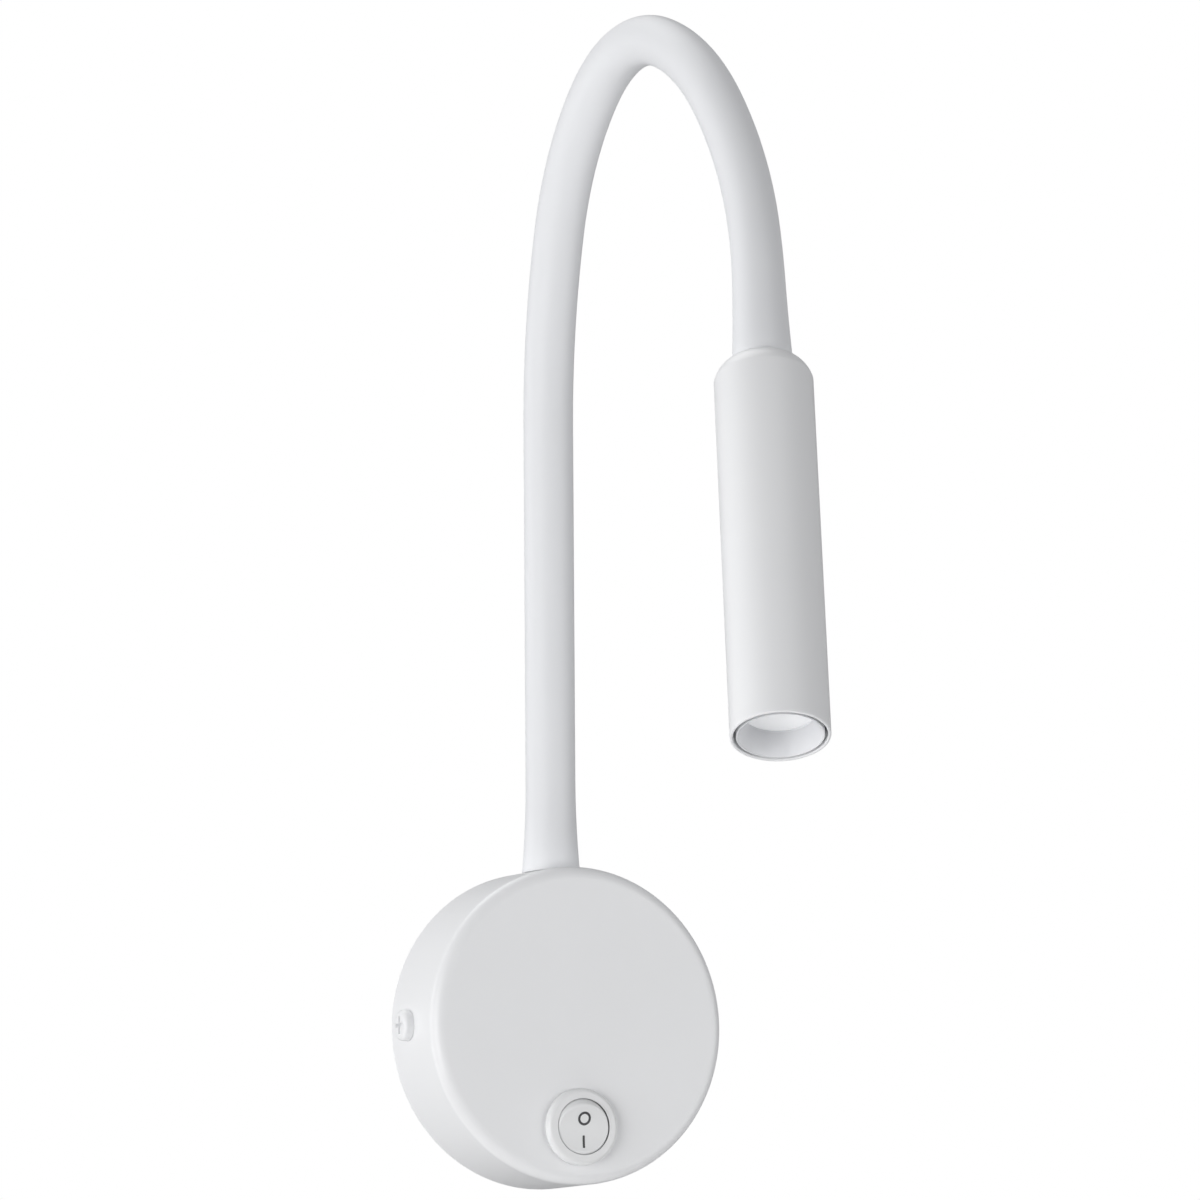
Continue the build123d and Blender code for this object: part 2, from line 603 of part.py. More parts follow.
def neck_sleeve(index):
    bore_r = HOSE_R - SLEEVE_WALL
    if index == 0:
        pocket = NIPPLE_COLLAR_T + NECK_SINK + SLIP_GAP
        foot = FRAMES[0] * flared_sleeve(STEM_LINK, FOOT_R, FOOT_FLARE, pocket)
        saddle = BASE * rod(BASE_R + FOOT_GAP, BASE_DEPTH)
        return foot - saddle + ball_end(index, HOSE_R, bore_r)
    run = link_run(index, HOSE_R, bore_r) - socket(index)
    if index < len(NECK_LINKS) - 1:
        return run + ball_end(index, HOSE_R, bore_r)
    pocket = NIPPLE_COLLAR_T - HEAD_POCKET + COLLAR_SINK + SLIP_GAP
    collar = flared_sleeve(END_RUN + COLLAR_SINK, COLLAR_R, COLLAR_FLARE, pocket)
    return run + NECK_END * Pos(0, 0, COLLAR_SINK) * Rot(180, 0, 0) * collar


def neck_core(index):
    if index == 0:
        start = NIPPLE_SEAT + NIPPLE_COLLAR_T + SEAT_GAP - (BASE_R - NECK_SINK)
        foot = FRAMES[0] * Pos(0, 0, start) * tube(CORE_R, CORE_BORE_R, STEM_LINK - start)
        return foot + ball_end(index, CORE_R, CORE_BORE_R)
    run = link_run(index, CORE_R, CORE_BORE_R) - socket(index)
    if index < len(NECK_LINKS) - 1:
        return run + ball_end(index, CORE_R, CORE_BORE_R)
    length = END_RUN + HEAD_POCKET - NIPPLE_COLLAR_T - 2 * SEAT_GAP
    return run + FRAMES[-1] * tube(CORE_R, CORE_BORE_R, length)


def neck_lead(index):
    if index == 0:
        start = NIPPLE_FOOT + SEAT_GAP - (BASE_R - NECK_SINK)
        foot = FRAMES[0] * Pos(0, 0, start) * rod(LEAD_R, STEM_LINK - start)
        return foot + ball_end(index, LEAD_R, 0)
    run = link_run(index, LEAD_R, 0) - socket(index)
    if index < len(NECK_LINKS) - 1:
        return run + ball_end(index, LEAD_R, 0)
    return run + FRAMES[-1] * rod(LEAD_R, END_RUN + BOARD_BACK - SEAT_GAP)


def nipple():
    """A threaded end: the stem hangs below the floor, the collar and spigot stand on it."""
    body = Pos(0, 0, -NIPPLE_STEM) * rod(NIPPLE_R, NIPPLE_STEM)
    body += rod(NIPPLE_COLLAR_R, NIPPLE_COLLAR_T)
    body += rod(CORE_BORE_R - THREAD_GAP, NIPPLE_COLLAR_T + SPIGOT_LENGTH)
    bore = Cylinder(NIPPLE_BORE_R, 2 * (NIPPLE_STEM + NIPPLE_COLLAR_T + SPIGOT_LENGTH))
    return body - bore


def nut():
    """A thin hexagon nut that stands on the floor."""
    hexagon = RegularPolygon(NUT_FLATS / 2, 6, major_radius=False)
    return extrude(hexagon, NUT_T) - Cylinder(NIPPLE_R + THREAD_GAP, 3 * NUT_T)


def neck_ends():
    foot = Pos(0, -NECK_OUT, 0)
    washer_top = math.sqrt(BASE_INNER_R**2 - WASHER_R**2) - SEAT_GAP
    washer = tube(WASHER_R, NIPPLE_R + SLIP_GAP, WASHER_T)
    PARTS["neck_nipple"] = foot * Pos(0, 0, NIPPLE_SEAT) * nipple()
    PARTS["neck_washer"] = foot * Pos(0, 0, washer_top - WASHER_T) * washer
    PARTS["neck_nut"] = foot * Pos(0, 0, washer_top - WASHER_T - SEAT_GAP - NUT_T) * nut()
    PARTS["head_nipple"] = NECK_END * Pos(0, 0, HEAD_POCKET - SEAT_GAP) * Rot(180, 0, 0) * nipple()
    PARTS["head_nut"] = NECK_END * Pos(0, 0, HEAD_POCKET + HEAD_TOP_T + SEAT_GAP) * nut()


# Lamp head, in its own frame with z along the head towards its mouth
def head_shell():
    mouth_r = COLLAR_R + SLIP_GAP
    stem_r = NIPPLE_R + SLIP_GAP
    inside = HEAD_POCKET + HEAD_TOP_T
    round_off = RadiusArc((mouth_r, 0), (HEAD_R, HEAD_SHOULDER), HEAD_SHOULDER_R)
    wall = Polyline(
        (HEAD_R, HEAD_SHOULDER),
        (HEAD_R, HEAD_LENGTH),
        (HEAD_BORE_R, HEAD_LENGTH),
        (HEAD_BORE_R, inside),
        (stem_r, inside),
        (stem_r, HEAD_POCKET),
        (mouth_r, HEAD_POCKET),
        (mouth_r, 0),
    )
    shell = revolve(Plane.XZ * make_face(round_off + wall), Axis.Z)
    rings = shell.edges().filter_by(GeomType.CIRCLE).filter_by_position(Axis.Z, 0, inside)
    shell = fillet(rings.sort_by(SortBy.RADIUS)[-1], HEAD_BROW_R)
    return fillet(shell.edges().group_by(Axis.Z)[-1], HEAD_LIP_R)


def heat_sink():
    slug = tube(SINK_STEM_R, LEAD_R + WIRE_GAP, SINK_LENGTH)
    pitch = (SINK_LENGTH - SINK_FIN_T) / (SINK_FIN_COUNT - 1)
    fin = tube(CARRIER_R, LEAD_R + WIRE_GAP, SINK_FIN_T)
    for k in range(SINK_FIN_COUNT):
        slug += Pos(0, 0, k * pitch) * fin
    for side in (-1, 1):
        slug -= Pos(side * BOARD_SCREW_X, 0, SINK_LENGTH) * Cylinder(
            BOARD_SCREW_R + THREAD_GAP, 2 * BOARD_HOLE_DEPTH
        )
    return Pos(0, 0, SINK_FRONT - SINK_LENGTH) * slug


def led_board():
    board = rod(CARRIER_R, BOARD_T)
    for side in (-1, 1):
        board -= Pos(side * BOARD_SCREW_X, 0, 0) * Cylinder(BOARD_SCREW_R + SLIP_GAP, 3 * BOARD_T)
    return Pos(0, 0, BOARD_BACK) * board


def board_screws():
    screw = pan_screw(
        BOARD_SCREW_R,
        BOARD_SCREW_LENGTH,
        BOARD_SCREW_HEAD_R,
        BOARD_SCREW_HEAD_T,
        slot_drive(BOARD_SCREW_HEAD_R),
    )
    place = Pos(0, 0, BOARD_FRONT + SEAT_GAP)
    return Compound([place * Pos(side * BOARD_SCREW_X, 0, 0) * screw for side in (-1, 1)])


def led_emitter():
    chip = rod(EMITTER_R, EMITTER_T)
    chip = fillet(chip.edges().group_by(Axis.Z)[-1], EMITTER_T / 2)
    return Pos(0, 0, EMITTER_BACK) * chip


def lens_holder():
    length = LENS_RIM_BACK - SEAT_GAP - (BOARD_FRONT + SEAT_GAP)
    ring = tube(CARRIER_R, CARRIER_R - HOLDER_WALL, length)
    return Pos(0, 0, BOARD_FRONT + SEAT_GAP) * ring


def lens():
    cone_r = CARRIER_R - HOLDER_WALL - SLIP_GAP
    return spun(
        (0, LENS_BACK),
        (LENS_BACK_R, LENS_BACK),
        (cone_r, LENS_RIM_BACK),
        (LENS_RIM_R, LENS_RIM_BACK),
        (LENS_RIM_R, LENS_FACE),
        (0, LENS_FACE),
    )


def lens_seal():
    return Pos(0, 0, LENS_FACE + SEAT_GAP) * tube(LENS_RIM_R, GLARE_INNER_R, SEAL_T)


def glare_ring():
    back = LENS_FACE + SEAL_T + 2 * SEAT_GAP
    front = HEAD_LENGTH - GLARE_SINK
    outer_r = HEAD_BORE_R - GLARE_GAP
    return spun(
        (GLARE_INNER_R, back),
        (CARRIER_R, back),
        (CARRIER_R, back + GLARE_FLANGE_T),
        (outer_r, back + GLARE_FLANGE_T),
        (outer_r, front),
        (outer_r - GLARE_LIP, front),
    )


# The whole lamp
for make in (
    base_cover,
    wall_bracket,
    cover_screws,
    inlet_grommet,
    terminal_block,
    terminal_screws,
    block_screws,
    earth_screw,
    driver_case,
    driver_pad,
    switch_housing,
    switch_terminals,
    switch_rocker,
):
    PARTS[make.__name__] = make()
base_wires()
neck_ends()
for k in range(len(NECK_LINKS)):
    PARTS[f"neck_sleeve_{k + 1}"] = neck_sleeve(k)
    PARTS[f"neck_core_{k + 1}"] = neck_core(k)
    PARTS[f"neck_lead_{k + 1}"] = neck_lead(k)
for make in (
    head_shell,
    heat_sink,
    led_board,
    board_screws,
    led_emitter,
    lens_holder,
    lens,
    lens_seal,
    glare_ring,
):
    PARTS[make.__name__] = NECK_END * make()

os.makedirs("parts", exist_ok=True)
for name, solid in PARTS.items():
    export_step(solid, f"parts/{name}.step")
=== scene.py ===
"""Looks of a wall reading lamp: its neck sleeve, switch marks, finishes, studio light and camera."""

import json
import logging
import math
from dataclasses import dataclass, field
from enum import Enum
from typing import Iterable

import bmesh
import bpy
from mathutils import Matrix, Vector


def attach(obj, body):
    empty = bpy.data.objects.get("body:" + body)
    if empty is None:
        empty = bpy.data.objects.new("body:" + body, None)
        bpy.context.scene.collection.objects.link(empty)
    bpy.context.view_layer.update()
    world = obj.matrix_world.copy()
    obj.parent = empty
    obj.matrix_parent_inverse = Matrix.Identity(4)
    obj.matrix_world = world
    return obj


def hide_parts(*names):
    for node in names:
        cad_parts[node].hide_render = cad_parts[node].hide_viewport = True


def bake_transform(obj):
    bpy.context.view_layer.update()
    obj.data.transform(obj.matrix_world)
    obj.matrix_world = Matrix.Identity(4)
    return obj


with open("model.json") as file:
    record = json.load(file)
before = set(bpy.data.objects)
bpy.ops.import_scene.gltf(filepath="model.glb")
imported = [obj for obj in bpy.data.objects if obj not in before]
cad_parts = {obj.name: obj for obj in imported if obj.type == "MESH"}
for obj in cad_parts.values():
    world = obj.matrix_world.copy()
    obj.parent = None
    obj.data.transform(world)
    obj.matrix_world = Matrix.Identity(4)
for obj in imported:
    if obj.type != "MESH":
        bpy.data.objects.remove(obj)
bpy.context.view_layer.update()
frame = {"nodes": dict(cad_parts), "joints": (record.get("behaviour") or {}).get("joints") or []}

log = logging.getLogger("reading_lamp")

MM = 0.001
Colour = tuple[float, float, float]
Tree = bpy.types.NodeTree
Node = bpy.types.Node
Socket = bpy.types.NodeSocket
MIX_FACTOR, MIX_A, MIX_B, MIX_RESULT = 0, 6, 7, 2
SMUDGE_LOW, SMUDGE_HIGH = 0.3, 0.7


class Grain(Enum):
    """The surface texture that a finish shows up close."""

    ORANGE_PEEL = "orange_peel"
    MOULDED = "moulded"
    BRUSHED = "brushed"


def new_group(name: str, inputs: dict[str, tuple[str, object]], outputs: dict[str, str]) -> Tree:
    """Make an empty shader node group with named sockets.

    Args:
        name: The group's name.
        inputs: Socket type and default value of each input, by name.
        outputs: Socket type of each output, by name.

    Returns:
        The group, with its input and output nodes in place.
    """
    group = bpy.data.node_groups.new(name, "ShaderNodeTree")
    for label, (kind, value) in inputs.items():
        made = group.interface.new_socket(label, in_out="INPUT", socket_type=kind)
        if value is not None:
            made.default_value = value
    for label, kind in outputs.items():
        group.interface.new_socket(label, in_out="OUTPUT", socket_type=kind)
    group.nodes.new("NodeGroupInput").name = "in"
    group.nodes.new("NodeGroupOutput").name = "out"
    return group


def noise(tree: Tree, detail: float, roughness: float) -> Node:
    """Add a noise texture node.

    Args:
        tree: The tree that gets the node.
        detail: How many octaves the noise has.
        roughness: How strong the finer octaves are.

    Returns:
        The new node.
    """
    node = tree.nodes.new("ShaderNodeTexNoise")
    node.inputs["Detail"].default_value = detail
    node.inputs["Roughness"].default_value = roughness
    return node


class SurfaceEffects:
    """The node groups that the finishes share, each built once."""

    def __init__(self) -> None:
        """Build every group."""
        self.relief = {
            Grain.ORANGE_PEEL: self._relief("orange_peel_relief", (1.0, 1.0, 1.0), 2.0, 0.45),
            Grain.MOULDED: self._relief("moulded_relief", (1.0, 1.0, 1.0), 6.0, 0.7),
            Grain.BRUSHED: self._relief("brushed_relief", (1.0, 14.0, 14.0), 4.0, 0.6),
        }
        self.tone = self._tone()
        self.handling = self._handling()

    @staticmethod
    def _relief(name: str, stretch: Colour, detail: float, roughness: float) -> Tree:
        """Build a height pattern.

        Args:
            name: The group's name.
            stretch: How much finer the pattern is along each axis.
            detail: Octaves of the pattern.
            roughness: Strength of the finer octaves.

        Returns:
            The group, with a Height output.
        """
        group = new_group(
            name,
            {"Vector": ("NodeSocketVector", None), "Scale": ("NodeSocketFloat", 500.0)},
            {"Height": "NodeSocketFloat"},
        )
        nodes, links = group.nodes, group.links
        place = nodes.new("ShaderNodeMapping")
        place.inputs["Scale"].default_value = stretch
        grain = noise(group, detail, roughness)
        links.new(nodes["in"].outputs["Vector"], place.inputs["Vector"])
        links.new(place.outputs["Vector"], grain.inputs["Vector"])
        links.new(nodes["in"].outputs["Scale"], grain.inputs["Scale"])
        links.new(grain.outputs["Fac"], nodes["out"].inputs["Height"])
        return group

    @staticmethod
    def _tone() -> Tree:
        """Build the slow drift between two near tones of one colour.

        Returns:
            The group, with a Color output.
        """
        group = new_group(
            "tone_drift",
            {
                "Vector": ("NodeSocketVector", None),
                "Scale": ("NodeSocketFloat", 30.0),
                "Light": ("NodeSocketColor", (1.0, 1.0, 1.0, 1.0)),
                "Deep": ("NodeSocketColor", (0.9, 0.9, 0.9, 1.0)),
            },
            {"Color": "NodeSocketColor"},
        )
        nodes, links = group.nodes, group.links
        drift = noise(group, 3.0, 0.5)
        mix = nodes.new("ShaderNodeMix")
        mix.data_type = "RGBA"
        links.new(nodes["in"].outputs["Vector"], drift.inputs["Vector"])
        links.new(nodes["in"].outputs["Scale"], drift.inputs["Scale"])
        links.new(drift.outputs["Fac"], mix.inputs[MIX_FACTOR])
        links.new(nodes["in"].outputs["Light"], mix.inputs[MIX_A])
        links.new(nodes["in"].outputs["Deep"], mix.inputs[MIX_B])
        links.new(mix.outputs[MIX_RESULT], nodes["out"].inputs["Color"])
        return group

    @staticmethod
    def _handling() -> Tree:
        """Build the uneven gloss that handling leaves.

        Returns:
            The group, with a Roughness output.
        """
        group = new_group(
            "handling_gloss",
            {
                "Vector": ("NodeSocketVector", None),
                "Scale": ("NodeSocketFloat", 60.0),
                "Low": ("NodeSocketFloat", 0.4),
                "High": ("NodeSocketFloat", 0.5),
            },
            {"Roughness": "NodeSocketFloat"},
        )
        nodes, links = group.nodes, group.links
        smudge = noise(group, 5.0, 0.6)
        spread = nodes.new("ShaderNodeMapRange")
        spread.inputs["From Min"].default_value = SMUDGE_LOW
        spread.inputs["From Max"].default_value = SMUDGE_HIGH
        links.new(nodes["in"].outputs["Vector"], smudge.inputs["Vector"])
        links.new(nodes["in"].outputs["Scale"], smudge.inputs["Scale"])
        links.new(smudge.outputs["Fac"], spread.inputs["Value"])
        links.new(nodes["in"].outputs["Low"], spread.inputs["To Min"])
        links.new(nodes["in"].outputs["High"], spread.inputs["To Max"])
        links.new(spread.outputs["Result"], nodes["out"].inputs["Roughness"])
        return group


@dataclass(frozen=True)
class Finish:
    """One surface finish: its colour, gloss, fine relief and any painted glow."""

    name: str
    colour: Colour
    roughness: float
    grain: Grain
    grain_scale: float
    relief_mm: float
    relief_strength: float = 0.25
    metallic: float = 0.0
    tone_depth: float = 0.03
    tone_scale: float = 25.0
    gloss_spread: float = 0.06
    gloss_scale: float = 45.0
    coat: float = 0.0
    coat_roughness: float = 0.2
    sheen: float = 0.0
    sheen_roughness: float = 0.4
    ior: float = 1.45
    # painted glow: emission strength that makes a surface look lit though no lamp is inside it
    glow: float = 0.0

    def build(self, effects: SurfaceEffects) -> bpy.types.Material:
        """Make the material of this finish.

        Args:
            effects: The shared node groups.

        Returns:
            The new material.
        """
        material = bpy.data.materials.new(self.name)
        material.use_nodes = True
        tree = material.node_tree
        shader = tree.nodes["Principled BSDF"]
        shader.inputs["Metallic"].default_value = self.metallic
        shader.inputs["IOR"].default_value = self.ior
        shader.inputs["Coat Weight"].default_value = self.coat
        shader.inputs["Coat Roughness"].default_value = self.coat_roughness
        shader.inputs["Sheen Weight"].default_value = self.sheen
        shader.inputs["Sheen Roughness"].default_value = self.sheen_roughness
        where = tree.nodes.new("ShaderNodeTexCoord").outputs["Object"]
        self._tint(tree, shader, where, effects.tone)
        self._gloss(tree, shader, where, effects.handling)
        self._roughen(tree, shader, where, effects.relief[self.grain])
        return material

    def _tint(self, tree: Tree, shader: Node, where: Socket, group: Tree) -> None:
        """Colour the surface with its two near tones, and give it a painted glow of that colour where the
        finish has one.

        Args:
            tree: The material's nodes.
            shader: The material's shader node.
            where: The socket of the surface's coordinates.
            group: The tone group.
        """
        tone = tree.nodes.new("ShaderNodeGroup")
        tone.node_tree = group
        tone.inputs["Scale"].default_value = self.tone_scale
        tone.inputs["Light"].default_value = (*self.colour, 1.0)
        tone.inputs["Deep"].default_value = (*(c * (1.0 - self.tone_depth) for c in self.colour), 1.0)
        tree.links.new(where, tone.inputs["Vector"])
        tree.links.new(tone.outputs["Color"], shader.inputs["Base Color"])
        # painted glow: the tinted colour is also emitted, so the surface looks brighter than its lighting makes
        # it
        if self.glow:
            tree.links.new(tone.outputs["Color"], shader.inputs["Emission Color"])
            shader.inputs["Emission Strength"].default_value = self.glow

    def _gloss(self, tree: Tree, shader: Node, where: Socket, group: Tree) -> None:
        """Vary the surface's gloss.

        Args:
            tree: The material's nodes.
            shader: The material's shader node.
            where: The socket of the surface's coordinates.
            group: The gloss group.
        """
        gloss = tree.nodes.new("ShaderNodeGroup")
        gloss.node_tree = group
        gloss.inputs["Scale"].default_value = self.gloss_scale
        gloss.inputs["Low"].default_value = self.roughness - self.gloss_spread / 2
        gloss.inputs["High"].default_value = self.roughness + self.gloss_spread / 2
        tree.links.new(where, gloss.inputs["Vector"])
        tree.links.new(gloss.outputs["Roughness"], shader.inputs["Roughness"])

    def _roughen(self, tree: Tree, shader: Node, where: Socket, group: Tree) -> None:
        """Give the surface its fine relief.

        Args:
            tree: The material's nodes.
            shader: The material's shader node.
            where: The socket of the surface's coordinates.
            group: The relief group.
        """
        relief = tree.nodes.new("ShaderNodeGroup")
        relief.node_tree = group
        relief.inputs["Scale"].default_value = self.grain_scale
        bump = tree.nodes.new("ShaderNodeBump")
        bump.inputs["Strength"].default_value = self.relief_strength
        bump.inputs["Distance"].default_value = self.relief_mm * MM
        tree.links.new(where, relief.inputs["Vector"])
        tree.links.new(relief.outputs["Height"], bump.inputs["Height"])
        tree.links.new(bump.outputs["Normal"], shader.inputs["Normal"])


WHITE = (0.895, 0.9, 0.912)
PAINT = Finish("satin_white_paint", WHITE, 0.4, Grain.ORANGE_PEEL, 900.0, 0.05, coat=0.12, coat_roughness=0.35)
SLEEVE = Finish(
    "white_silicone_sleeve", (0.84, 0.848, 0.868), 0.52, Grain.MOULDED, 700.0, 0.04, sheen=0.06, tone_depth=0.02
)
SWITCH = Finish("switch_plastic", (0.86, 0.865, 0.87), 0.34, Grain.MOULDED, 1400.0, 0.02, coat=0.1)
RING = Finish("glare_ring_plastic", (0.8, 0.806, 0.825), 0.5, Grain.MOULDED, 1500.0, 0.02)
INK = Finish("printed_mark", (0.075, 0.075, 0.08), 0.5, Grain.MOULDED, 3000.0, 0.01, tone_depth=0.25)
STEEL = Finish("zinc_plated_steel", (0.62, 0.63, 0.65), 0.34, Grain.BRUSHED, 260.0, 0.03, metallic=1.0)
BRASS = Finish("bright_brass", (0.74, 0.57, 0.27), 0.28, Grain.BRUSHED, 320.0, 0.02, metallic=1.0)
ALUMINIUM = Finish("turned_aluminium", (0.76, 0.77, 0.78), 0.33, Grain.BRUSHED, 300.0, 0.03, metallic=1.0)
BLOCK = Finish("terminal_plastic", (0.78, 0.77, 0.72), 0.45, Grain.MOULDED, 1100.0, 0.03)
DRIVER = Finish("driver_plastic", (0.05, 0.052, 0.056), 0.55, Grain.MOULDED, 900.0, 0.06, tone_depth=0.15)
FOAM = Finish("bonding_foam", (0.11, 0.11, 0.115), 0.85, Grain.MOULDED, 600.0, 0.15, tone_depth=0.2)
GROMMET = Finish("grommet_rubber", (0.03, 0.03, 0.032), 0.7, Grain.MOULDED, 1200.0, 0.04, tone_depth=0.2)
BROWN = Finish("brown_insulation", (0.16, 0.065, 0.025), 0.42, Grain.MOULDED, 1500.0, 0.03, tone_depth=0.12)
BLUE = Finish("blue_insulation", (0.025, 0.09, 0.36), 0.42, Grain.MOULDED, 1500.0, 0.03, tone_depth=0.12)
GREEN = Finish("green_insulation", (0.06, 0.28, 0.05), 0.42, Grain.MOULDED, 1500.0, 0.03, tone_depth=0.12)
JACKET = Finish("lead_jacket", (0.72, 0.72, 0.70), 0.45, Grain.MOULDED, 1300.0, 0.03, tone_depth=0.06)
MASK = Finish("board_mask", (0.84, 0.84, 0.82), 0.38, Grain.MOULDED, 1800.0, 0.02)
PHOSPHOR = Finish("phosphor", (0.85, 0.68, 0.16), 0.3, Grain.MOULDED, 2600.0, 0.03, tone_depth=0.15)
# painted glow: the frosted lens emits a little light that stands in for brightness, not for a lit LED; it also
# lights the glare ring
LENS_PAINTED_GLOW = Finish(
    "frosted_lens_painted_glow", (0.9, 0.905, 0.915), 0.42, Grain.MOULDED, 1600.0, 0.03, ior=1.49, tone_depth=0.01, glow=0.23
)


class FinishRack:
    """The finishes of the lamp, each made into a material once."""

    def __init__(self) -> None:
        """Build the shared effects and start with no materials."""
        self.effects = SurfaceEffects()
        self.made: dict[Finish, bpy.types.Material] = {}

    def material(self, finish: Finish) -> bpy.types.Material:
        """Return the material of a finish, making it the first time."""
        if finish not in self.made:
            self.made[finish] = finish.build(self.effects)
        return self.made[finish]

    def dress(self, piece: bpy.types.Object, finish: Finish) -> None:
        """Give a whole piece one finish.

        Args:
            piece: The object to dress.
            finish: The finish that covers it.
        """
        material = self.material(finish)
        if not piece.data.materials:
            piece.data.materials.append(material)
        for index in range(len(piece.data.materials)):
            piece.data.materials[index] = material

    def dress_nodes(self, finish: Finish, names: Iterable[str]) -> None:
        """Give carried-over nodes one finish.

        Args:
            finish: The finish that covers them.
            names: The nodes' names.
        """
        for name in names:
            self.dress(frame["nodes"][name], finish)
            log.info("dressed %s in %s", name, finish.name)


def finished_piece(name: str, mesh: bmesh.types.BMesh, smooth_below: float = 35.0) -> bpy.types.Object:
    """Turn a bmesh into an object at the origin with its normals outwards.

    Args:
        name: The piece's name.
        mesh: The shape, in metres in the lamp's frame. It is freed.
        smooth_below: Edges that turn less than this many degrees look smooth.

    Returns:
        The new object.
    """
    bmesh.ops.recalc_face_normals(mesh, faces=mesh.faces[:])
    for face in mesh.faces:
        face.smooth = True
    for edge in mesh.edges:
        if edge.is_manifold:
            edge.smooth = edge.calc_face_angle() < math.radians(smooth_below)
    data = bpy.data.meshes.new(name)
    mesh.to_mesh(data)
    mesh.free()
    piece = bpy.data.objects.new(name, data)
    bpy.context.scene.collection.objects.link(piece)
    return piece


@dataclass(frozen=True)
class Link:
    """One link of the neck: its length in millimetres and how far it curves, in degrees."""

    length: float
    forward: float = 0.0
    sideways: float = 0.0

    def step(self, share: float = 1.0) -> Matrix:
        """Return the move along a share of the link, from its start.

        Args:
            share: How much of the link is passed, from 0 to 1.

        Returns:
            The frame at that place, with z along the neck.
        """
        angle = math.radians(math.hypot(self.forward, self.sideways))
        if angle == 0.0:
            return Matrix.Translation((0.0, 0.0, self.length * share * MM))
        turn = Matrix.Rotation(math.atan2(self.sideways, self.forward), 4, "Z")
        bend_r = self.length / angle * MM
        passed = angle * share
        move = Matrix.Translation((0.0, -bend_r * (1.0 - math.cos(passed)), bend_r * math.sin(passed)))
        return turn @ move @ Matrix.Rotation(passed, 4, "X") @ turn.inverted()


